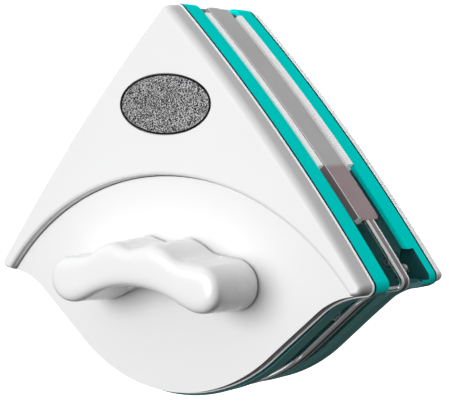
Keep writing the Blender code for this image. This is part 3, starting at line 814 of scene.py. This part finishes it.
def smooth_half(steps):
    """The right half of the handle's profile as a Catmull-Rom curve."""
    half = [(x * MM, z * MM) for x, z in HANDLE_HALF_PROFILE]
    before, after = (-half[1][0], half[1][1]), (-half[-2][0], half[-2][1])
    points = np.array([before, *half, after])
    samples = []
    for p0, p1, p2, p3 in zip(points, points[1:], points[2:], points[3:]):
        for j in range(steps):
            t = j / steps
            samples.append(0.5 * (2 * p1 + (p2 - p0) * t + (2 * p0 - 5 * p1 + 4 * p2 - p3) * t * t
                                  + (3 * p1 - p0 - 3 * p2 + p3) * t ** 3))
    return np.array(samples + [points[-2]])


def handle_loop():
    """The handle's profile with, for each point, the point of its spine that it closes on.

    Points above and below the spine share their x, so the front closes without a seam.
    """
    curve = smooth_half(steps=16)
    peak = int(np.argmax(curve[:, 0]))
    top, bottom = curve[:peak + 1], curve[peak:][::-1]
    columns, clear = 45, 0.4 * MM
    xs = np.linspace(0.0, HANDLE_END_X, columns)
    upper = np.column_stack([xs, np.interp(xs, top[:, 0], top[:, 1])])
    lower = np.column_stack([xs, np.interp(xs, bottom[:, 0], bottom[:, 1])])
    end = curve[curve[:, 0] > HANDLE_END_X + clear]
    right = np.vstack([upper, end, lower[::-1]])
    loop = np.vstack([right, (right[1:-1] * (-1, 1))[::-1]])
    xs = np.clip(loop[:, 0], -HANDLE_END_X, HANDLE_END_X)
    t = np.clip((np.abs(xs) - SPINE_LEVEL_X) / (HANDLE_END_X - SPINE_LEVEL_X), 0.0, 1.0)
    drop = HANDLE_SCREW_Z - SPINE_TOP_Z
    spine = np.column_stack([xs, SPINE_TOP_Z + drop * t * t * (3 - 2 * t)])
    return loop, spine


def handle_mesh():
    """The grip block: drafted wall, and a front that rolls over to a soft crown."""
    loop, spine = handle_loop()
    inward = spine - loop
    length = np.linalg.norm(inward, axis=1, keepdims=True)
    inward = inward / length
    rings = []

    def add(share, depth):
        flat = loop + inward * (HANDLE_DRAFT * share)
        rings.append([(x, -depth, z) for x, z in flat])

    start, shoulder = HANDLE_FOOT, HANDLE_DEPTH - HANDLE_CROWN
    wall_start, wall_steps = start + FOOT_HEIGHT, 6
    for depth in (start, wall_start):
        add(FOOT_INSET / HANDLE_DRAFT, depth)
    for i in range(wall_steps + 1):
        add(i / wall_steps, wall_start + (shoulder - wall_start) * i / wall_steps)
    for i in range(1, CROWN_STEPS + 1):
        u = 1 - math.cos(math.pi / 2 * i / CROWN_STEPS)
        rise = (1 - (1 - u) ** HANDLE_SQUARENESS) ** (1 / HANDLE_SQUARENESS)
        flat = loop + inward * (HANDLE_DRAFT + (length - HANDLE_DRAFT) * u)
        depth = shoulder + HANDLE_CROWN * rise
        rings.append([(x, -depth, z) for x, z in flat])
    count = len(loop)
    vertices = [p for points in rings for p in points]
    faces = [tuple(reversed(range(count)))]
    for k in range(len(rings) - 1):
        for i in range(count):
            j = (i + 1) % count
            faces.append((k * count + i, k * count + j, (k + 1) * count + j, (k + 1) * count + i))
    mesh = mesh_from("handle", vertices, faces, weld=True)
    for side in (-1, 1):
        bore = disc("bore", side * HANDLE_SCREW_X, HANDLE_SCREW_Z, SCREW_RADIUS + GAP,
                    start - WALL, start + SCREW_LENGTH)
        mesh = minus(mesh, bore)
    # The grip's foot is painted near black as painted shade for its shadow gap.
    foot = wall_start + GAP / 10
    return paint(mesh, ["handle_white", "painted_shade_dark"],
                 lambda centre, normal: 1 if -centre.y < foot else 0)


def badge_mesh():
    """The oval inlay: a black rim, painted as the shadow line round its pocket, and a slightly domed
    glitter field inside it.
    """
    steps = 6
    shoulder = BADGE_TOP - BADGE_EDGE
    levels = [(0.0, BADGE_SEAT), (0.0, BADGE_TOP - GAP), (BADGE_EDGE, shoulder),
              (BADGE_RIM * 0.7, shoulder), (BADGE_RIM, BADGE_TOP - GAP)]
    for i in range(1, steps + 1):
        t = i / (steps + 1)
        levels.append((BADGE_RIM + t * (BADGE_HALF_HEIGHT - BADGE_RIM),
                       BADGE_TOP - GAP * (1 - math.sin(math.pi / 2 * t))))
    rings = []
    for inset, depth in levels:
        if inset <= BADGE_RIM:
            width = BADGE_HALF_WIDTH - inset
        else:
            width = (BADGE_HALF_WIDTH - BADGE_RIM) * (1 - inset / BADGE_HALF_HEIGHT)
        outline = ellipse(0.0, BADGE_Z, width, BADGE_HALF_HEIGHT - inset, BADGE_SEGMENTS)
        rings.append([(x, -depth, z) for x, z in outline])

    def on_rim(centre, normal):
        share = math.hypot(centre.x / (BADGE_HALF_WIDTH - BADGE_RIM),
                           (centre.z - BADGE_Z) / (BADGE_HALF_HEIGHT - BADGE_RIM))
        return 1 if share > 1.0 else 0

    return paint(loft("badge", rings), ["badge_inlay", "badge_rim_painted_shade"], on_rim)


def side_sweep(name, section_at, start, length, steps):
    """A section swept down the right-hand long side. section_at(share) gives (inset, depth)s."""
    rings = []
    for i in range(steps + 1):
        row = []
        for inset, depth in section_at(i / steps):
            x, z = side_point(start + length * i / steps, inset)
            row.append((x, -depth, z))
        rings.append(row)
    return loft(name, rings)


def blade_mesh():
    """A rubber wiper blade: a lip with fine cross ribs over the rim, and a foot inside it."""
    lip = RIM_DEPTH - 2 * GAP
    ribs = 68
    rib = 0.14 * MM
    per_rib = 4

    def section(share):
        wave = 0.5 - 0.5 * math.cos(2 * math.pi * ribs * share)
        out, top = -BLADE_OVERHANG + rib * wave, BLADE_DEPTH + rib * wave
        return rounded([
            (BLADE_FOOT_IN, lip, 0.0),
            (out, lip, 0.2 * MM),
            (out, top, 0.9 * MM),
            (BLADE_WIDTH, top, 0.6 * MM),
            (BLADE_WIDTH, lip, 0.2 * MM),
            (BLADE_FOOT_OUT, lip, 0.0),
            (BLADE_FOOT_OUT, BLADE_FOOT, 0.3 * MM),
            (BLADE_FOOT_IN, BLADE_FOOT, 0.0),
        ])

    return side_sweep("blade", section, BLADE_START, BLADE_LENGTH, ribs * per_rib)


def domed_head(radius, top, height):
    """(radius, depth) points of a domed head, from near its middle out to its edge."""
    points = []
    for i in range(1, DOME_STEPS + 1):
        angle = math.pi / 2 * i / DOME_STEPS
        points.append((radius * math.sin(angle), top + height * (1 - math.cos(angle))))
    return points


def screw_mesh(x, z):
    """A pan-head screw with a cross recess."""
    seat = SCREW_TOP + SCREW_HEAD_HEIGHT
    profile = domed_head(SCREW_HEAD_RADIUS, SCREW_TOP, 0.7 * SCREW_HEAD_HEIGHT)
    mesh = turned("screw", x, z, profile + [
        (SCREW_HEAD_RADIUS, seat), (SCREW_RADIUS, seat),
        (SCREW_RADIUS, SCREW_END - SCREW_RADIUS), (0.4 * SCREW_RADIUS, SCREW_END),
    ])
    half, reach = 0.3 * MM, 0.62 * SCREW_HEAD_RADIUS
    for wide, tall in ((reach, half), (half, reach)):
        outline = [(x - wide, z - tall), (x + wide, z - tall),
                   (x + wide, z + tall), (x - wide, z + tall)]
        mesh = minus(mesh, prism("recess", outline, SCREW_TOP - WALL, SCREW_TOP + SCREW_RECESS))
    return mesh


def anchor_mesh():
    """The post with a mushroom head that a safety cord's loop hangs on."""
    under = ANCHOR_TOP + ANCHOR_HEAD_HEIGHT
    profile = domed_head(ANCHOR_HEAD_RADIUS, ANCHOR_TOP, 0.8 * ANCHOR_HEAD_HEIGHT)
    return turned("anchor", -ANCHOR_X, ANCHOR_Z, profile + [
        (ANCHOR_HEAD_RADIUS, under), (ANCHOR_RADIUS, under), (ANCHOR_RADIUS, ANCHOR_END),
    ])


def rounded_triangle(inset):
    """The pad's outline: a triangle with its point up and round corners."""
    top, bottom = PAD_TOP - inset, PAD_BOTTOM + inset
    half_width, radius = PAD_HALF_WIDTH - inset, PAD_RADIUS - inset / 2
    slope = math.atan2(top - bottom, half_width)
    reach = radius / math.tan(slope / 2)
    apex = top - radius / math.cos(slope)
    points = []
    for centre, start, end in (
        ((half_width - reach, bottom + radius), -math.pi / 2, math.pi / 2 - slope),
        ((0.0, apex), math.pi / 2 - slope, math.pi / 2 + slope),
        ((reach - half_width, bottom + radius), math.pi / 2 + slope, 1.5 * math.pi),
    ):
        points += [(x, z) for x, z, _, _ in arc(centre, radius, start, end, CORNER_STEPS)]
    return points


def applied(obj):
    """Makes an object's mesh what its modifiers show, and drops them."""
    graph = bpy.context.evaluated_depsgraph_get()
    mesh = bpy.data.meshes.new_from_object(obj.evaluated_get(graph))
    obj.modifiers.clear()
    obj.data = mesh
    return obj


def pad_mesh():
    """The cloth pad, swollen by a short cloth simulation with pressure, then quilted."""
    inset = 0.8 * MM
    lift = 0.7 * MM
    mesh = prism("pad", rounded_triangle(inset), PAD_FACE + lift, PAD_BACK - GAP)
    pad = bpy.data.objects.new("pad_in_making", mesh)
    bpy.context.collection.objects.link(pad)
    remesh = pad.modifiers.new("voxels", "REMESH")
    remesh.mode = "VOXEL"
    remesh.voxel_size = 2.0 * MM
    applied(pad)
    rest = np.array([v.co for v in pad.data.vertices])
    swell(pad)
    moved = np.array([v.co for v in pad.data.vertices])
    moved = rest + np.clip(moved - rest, -inset, inset)
    moved[:, 1] = np.clip(moved[:, 1], -PAD_BACK, -PAD_FACE)
    pad.data.vertices.foreach_set("co", moved.astype(np.float32).ravel())
    smooth = pad.modifiers.new("even", "SMOOTH")
    smooth.factor, smooth.iterations = 0.5, 2
    finer = pad.modifiers.new("finer", "SUBSURF")
    finer.levels = finer.render_levels = 1
    applied(pad)
    quilt(pad.data)
    mesh = pad.data
    bpy.data.objects.remove(pad, do_unlink=True)
    return mesh


def swell(pad):
    """Lets the pad's skin bulge under inner pressure, with its back held."""
    held = pad.vertex_groups.new(name="held")
    back = [v.index for v in pad.data.vertices if v.co.y < -(PAD_BACK - 2 * GAP)]
    held.add(back, 1.0, "REPLACE")
    modifier = pad.modifiers.new("swell", "CLOTH")
    settings = modifier.settings
    settings.use_pressure = True
    settings.uniform_pressure_force = 4.0
    settings.effector_weights.gravity = 0.0
    settings.vertex_group_mass = "held"
    scene = bpy.context.scene
    frames = 20
    modifier.point_cache.frame_start, modifier.point_cache.frame_end = 1, frames
    for number in range(1, frames + 1):
        scene.frame_set(number)
    applied(pad)
    scene.frame_set(1)


def quilt(mesh):
    """Presses shallow sewn channels and the loops' unevenness into the pad's face."""
    pitch, half_width, deep, rough = 16.0 * MM, 1.1 * MM, 0.8 * MM, 0.09 * MM
    normals = [v.normal.copy() for v in mesh.vertices]
    rng = np.random.default_rng(4)
    uneven = rng.uniform(-rough, 0.0, len(mesh.vertices))
    for vertex, normal, shift in zip(mesh.vertices, normals, uneven):
        facing = max(0.0, normal.y)
        across = (vertex.co.z - PAD_BOTTOM) % pitch - pitch / 2
        channel = math.exp(-(across / half_width) ** 2)
        vertex.co -= normal * (deep * channel * facing) - normal * shift
    mesh.update()


# ---------------------------------------------------------------- the clear spacer

def plate_mesh():
    inner = SPACER_INSET + SPACER_RIM_WIDTH
    soft = 0.8 * MM
    return section_loft("spacer", rounded([
        (inner + CAP_MARGIN, -SPACER_WEB, 0.0),
        (inner, -SPACER_WEB, 0.4 * MM),
        (inner, -SPACER_RIM, soft),
        (SPACER_INSET, -SPACER_RIM, soft),
        (SPACER_INSET, -SPACER_LINE, 0.0),
        (SPACER_INSET, SPACER_LINE, 0.0),
        (SPACER_INSET, SPACER_RIM, soft),
        (inner, SPACER_RIM, soft),
        (inner, SPACER_WEB, 0.4 * MM),
        (inner + CAP_MARGIN, SPACER_WEB, 0.0),
    ]))


def rail_mesh():
    """A raised rail along the right-hand long side, round at its lower end."""
    near, far = SPACER_INSET - RAIL_PROUD, SPACER_INSET + RAIL_WIDTH
    middle = (near + far) / 2
    edge = 0.6 * MM
    rings = []

    def add(distance, half):
        section = rounded([(middle, -half, 0.0), (near, -half, edge), (near, half, edge),
                           (far, half, edge), (far, -half, edge), (middle, -half, 0.0)])[:-1]
        row = []
        for inset, depth in section:
            x, z = side_point(RAIL_START + distance, inset)
            row.append((x, -depth, z))
        rings.append(row)

    straight = RAIL_LENGTH - RAIL_END_RADIUS
    for i in range(SIDE_STEPS):
        add(straight * i / SIDE_STEPS, RAIL_DEPTH)
    for i in range(ROUND_STEPS * 2 + 1):
        angle = math.pi / 2 * i / (ROUND_STEPS * 2)
        add(straight + RAIL_END_RADIUS * math.sin(angle),
            RAIL_DEPTH - RAIL_END_RADIUS * (1 - math.cos(angle)))
    return loft("rail", rings)


def spacer_mesh():
    """The plate with its rim and rails. Rails have a deeper tint, darker below the blades' end as
    painted shade; the rim's middle has painted shade and its rounded edges painted highlights.
    """
    rail = rail_mesh()
    mesh = plus(plate_mesh(), rail, mirrored(rail))

    def kind(centre, normal):
        """0 on the clear web, 1 on the rails, 2 painted highlights on rounded edges, 3 painted shade
        on the middle of the rim.
        """
        on_rail = centre.z > RAIL_END_Z
        if nearest_edge(centre.x, centre.z)[0] < SPACER_INSET + GAP:
            if abs(centre.y) < (RAIL_DEPTH - MM if on_rail else SPACER_LINE):
                return 1 if on_rail else 3
            if not on_rail:
                return 2
        if 0.25 < abs(normal.y) < 0.95:
            return 2
        return 1 if abs(centre.y) > SPACER_RIM + GAP else 0

    return paint(mesh, ["spacer_clear", "spacer_rail_painted_shade", "spacer_edge_painted_highlight", "spacer_rim_painted_shade"], kind)


# ---------------------------------------------------------------- putting the pieces in place

def show(name, mesh, slot, body, replaced, turn=0.0, smooth_angle=32.0):
    """A piece that rides on a body, stands for CAD nodes and has even shading."""
    if not mesh.materials:
        mesh.materials.append(MATERIALS[slot])
    mesh.shade_smooth()
    mesh.set_sharp_from_angle(angle=math.radians(smooth_angle))
    obj = bpy.data.objects.new(name, mesh)
    bpy.context.collection.objects.link(obj)
    obj.rotation_euler = (0.0, 0.0, turn)
    even = obj.modifiers.new("even_shading", "WEIGHTED_NORMAL")
    even.keep_sharp = True
    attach(obj, body)
    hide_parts(*replaced)
    return obj


def half_pieces():
    """The detailed pieces of one half, as (name, mesh, slot)."""
    blade = blade_mesh()
    pieces = [
        ("cover", cover_mesh(), "cover_white"),
        ("base", base_mesh(), "base_teal"),
        ("handle", handle_mesh(), "handle_white"),
        ("badge", badge_mesh(), "badge_inlay"),
        ("wiper_blade_right", blade, "blade_rubber"),
        ("wiper_blade_left", mirrored(blade), "blade_rubber"),
        ("cord_anchor", anchor_mesh(), "screw_steel"),
    ]
    for spot, (x, z) in SCREW_SPOTS.items():
        pieces.append((spot + "_screw", screw_mesh(x, z), "screw_steel"))
    return pieces


def show_halves():
    turns = {"front": 0.0, "rear": math.pi}
    for name, mesh, slot in half_pieces():
        for half, turn in turns.items():
            node = half + "_" + name
            show(node + "_detail", mesh, slot, half + "_half", [node], turn)
    pad = pad_mesh()
    for half, turn in turns.items():
        node = half + "_cleaning_pad"
        piece = show(node + "_detail", pad, "pad_cloth", half + "_half", [node], turn, 180.0)


def dress_cad_nodes():
    """Procedural finishes for the hidden CAD nodes that stay: magnets, yokes, handle screws."""
    slots = {row["node"]: row["material_slot"] for row in frame["record"]["subparts"]}
    for name, node in frame["nodes"].items():
        node.data.materials.clear()
        node.data.materials.append(MATERIALS[slots[name]])


# ---------------------------------------------------------------- camera, floor and light

CAMERA_AZIMUTH = math.radians(36.0)
CAMERA_ELEVATION = math.radians(3.09)
CAMERA_DISTANCE = 620.2 * MM
CAMERA_RIGHT = 4.8 * MM
CAMERA_UP = 29.58 * MM
CAMERA_LENS = 116.3
FLOOR_Z = BELLY_BOTTOM - 60.0 * MM
DOME_RADIUS = 9.0
FLOOR_SIZE = 2.5 * DOME_RADIUS
SKY_BELOW = 0.0136              # the sky's strength just below the horizon and well above it
SKY_ABOVE = 0.5712


def add_camera():
    sin_a, cos_a = math.sin(CAMERA_AZIMUTH), math.cos(CAMERA_AZIMUTH)
    sin_e, cos_e = math.sin(CAMERA_ELEVATION), math.cos(CAMERA_ELEVATION)
    back = Vector((sin_a * cos_e, -cos_a * cos_e, sin_e))
    right = Vector((cos_a, sin_a, 0.0))
    up = back.cross(right)
    data = bpy.data.cameras.new("camera")
    data.lens = CAMERA_LENS
    data.clip_start = 0.01
    camera = bpy.data.objects.new("camera", data)
    bpy.context.collection.objects.link(camera)
    camera.location = right * CAMERA_RIGHT + up * CAMERA_UP + back * CAMERA_DISTANCE
    camera.rotation_mode = "QUATERNION"
    camera.rotation_quaternion = (-back).to_track_quat("-Z", "Y")
    bpy.context.scene.camera = camera


def stage_paper(name, base, glow):
    """Pale studio paper that glows a little, so that it stays near white."""
    material, tree, shader, place = new_material(name)
    ramp(tree, noise(tree, place, 3.0), (tuple(0.97 * c for c in base), base),
         shader.inputs["Base Color"])
    shader.inputs["Roughness"].default_value = 0.9
    shader.inputs["Specular IOR Level"].default_value = 0.0
    shader.inputs["Emission Color"].default_value = (1.0, 1.0, 1.0, 1.0)
    shader.inputs["Emission Strength"].default_value = glow
    return material


def add_stage():
    """A pale floor and a white dome. Neither adds light or shade of its own to the object."""
    bpy.ops.mesh.primitive_plane_add(size=FLOOR_SIZE, location=(0.0, 0.0, FLOOR_Z))
    floor = bpy.context.active_object
    floor.name = "floor"
    floor.data.materials.append(stage_paper("floor_paper", (0.9, 0.9, 0.9), 0.75))
    bpy.ops.mesh.primitive_uv_sphere_add(segments=48, ring_count=24, radius=DOME_RADIUS)
    dome = bpy.context.active_object
    dome.name = "dome"
    dome.data.materials.append(stage_paper("dome_paper", (0.1, 0.1, 0.1), 1.0))
    for obj in (floor, dome):
        obj.visible_shadow = False
        obj.visible_diffuse = False
        obj.visible_glossy = False


def area_light(name, position, size, power, target=(0.0, 0.0, 0.03)):
    data = bpy.data.lights.new(name, "AREA")
    data.shape = "DISK"
    data.size = size
    data.energy = power
    light = bpy.data.objects.new(name, data)
    bpy.context.collection.objects.link(light)
    light.location = position
    direction = Vector(target) - Vector(position)
    light.rotation_mode = "QUATERNION"
    light.rotation_quaternion = direction.to_track_quat("-Z", "Y")


def add_world():
    """A soft studio sky: bright above, dim at the horizon, dark below."""
    world = bpy.data.worlds.new("studio")
    world.use_nodes = True
    tree = world.node_tree
    background = tree.nodes["Background"]
    place = tree.nodes.new("ShaderNodeTexCoord")
    split = tree.nodes.new("ShaderNodeSeparateXYZ")
    tree.links.new(place.outputs["Generated"], split.inputs["Vector"])
    strength = between(tree, split.outputs["Z"], SKY_BELOW, SKY_ABOVE, -0.1, 0.4)
    tree.links.new(strength, background.inputs["Strength"])
    background.inputs["Color"].default_value = (1.0, 1.0, 1.0, 1.0)
    bpy.context.scene.world = world


def add_light():
    add_world()
    area_light("key_light", (-0.5, -1.9, 0.22), size=1.3, power=31.5)
    area_light("back_light", (-0.35, 1.9, 0.4), size=1.6, power=24.0)
    bpy.context.scene.view_settings.view_transform = "Standard"


# ---------------------------------------------------------------- the whole scene

add_camera()
show_halves()
show("spacer_detail", spacer_mesh(), "spacer_clear", "spacer", ["spacer"])
dress_cad_nodes()
add_stage()
add_light()
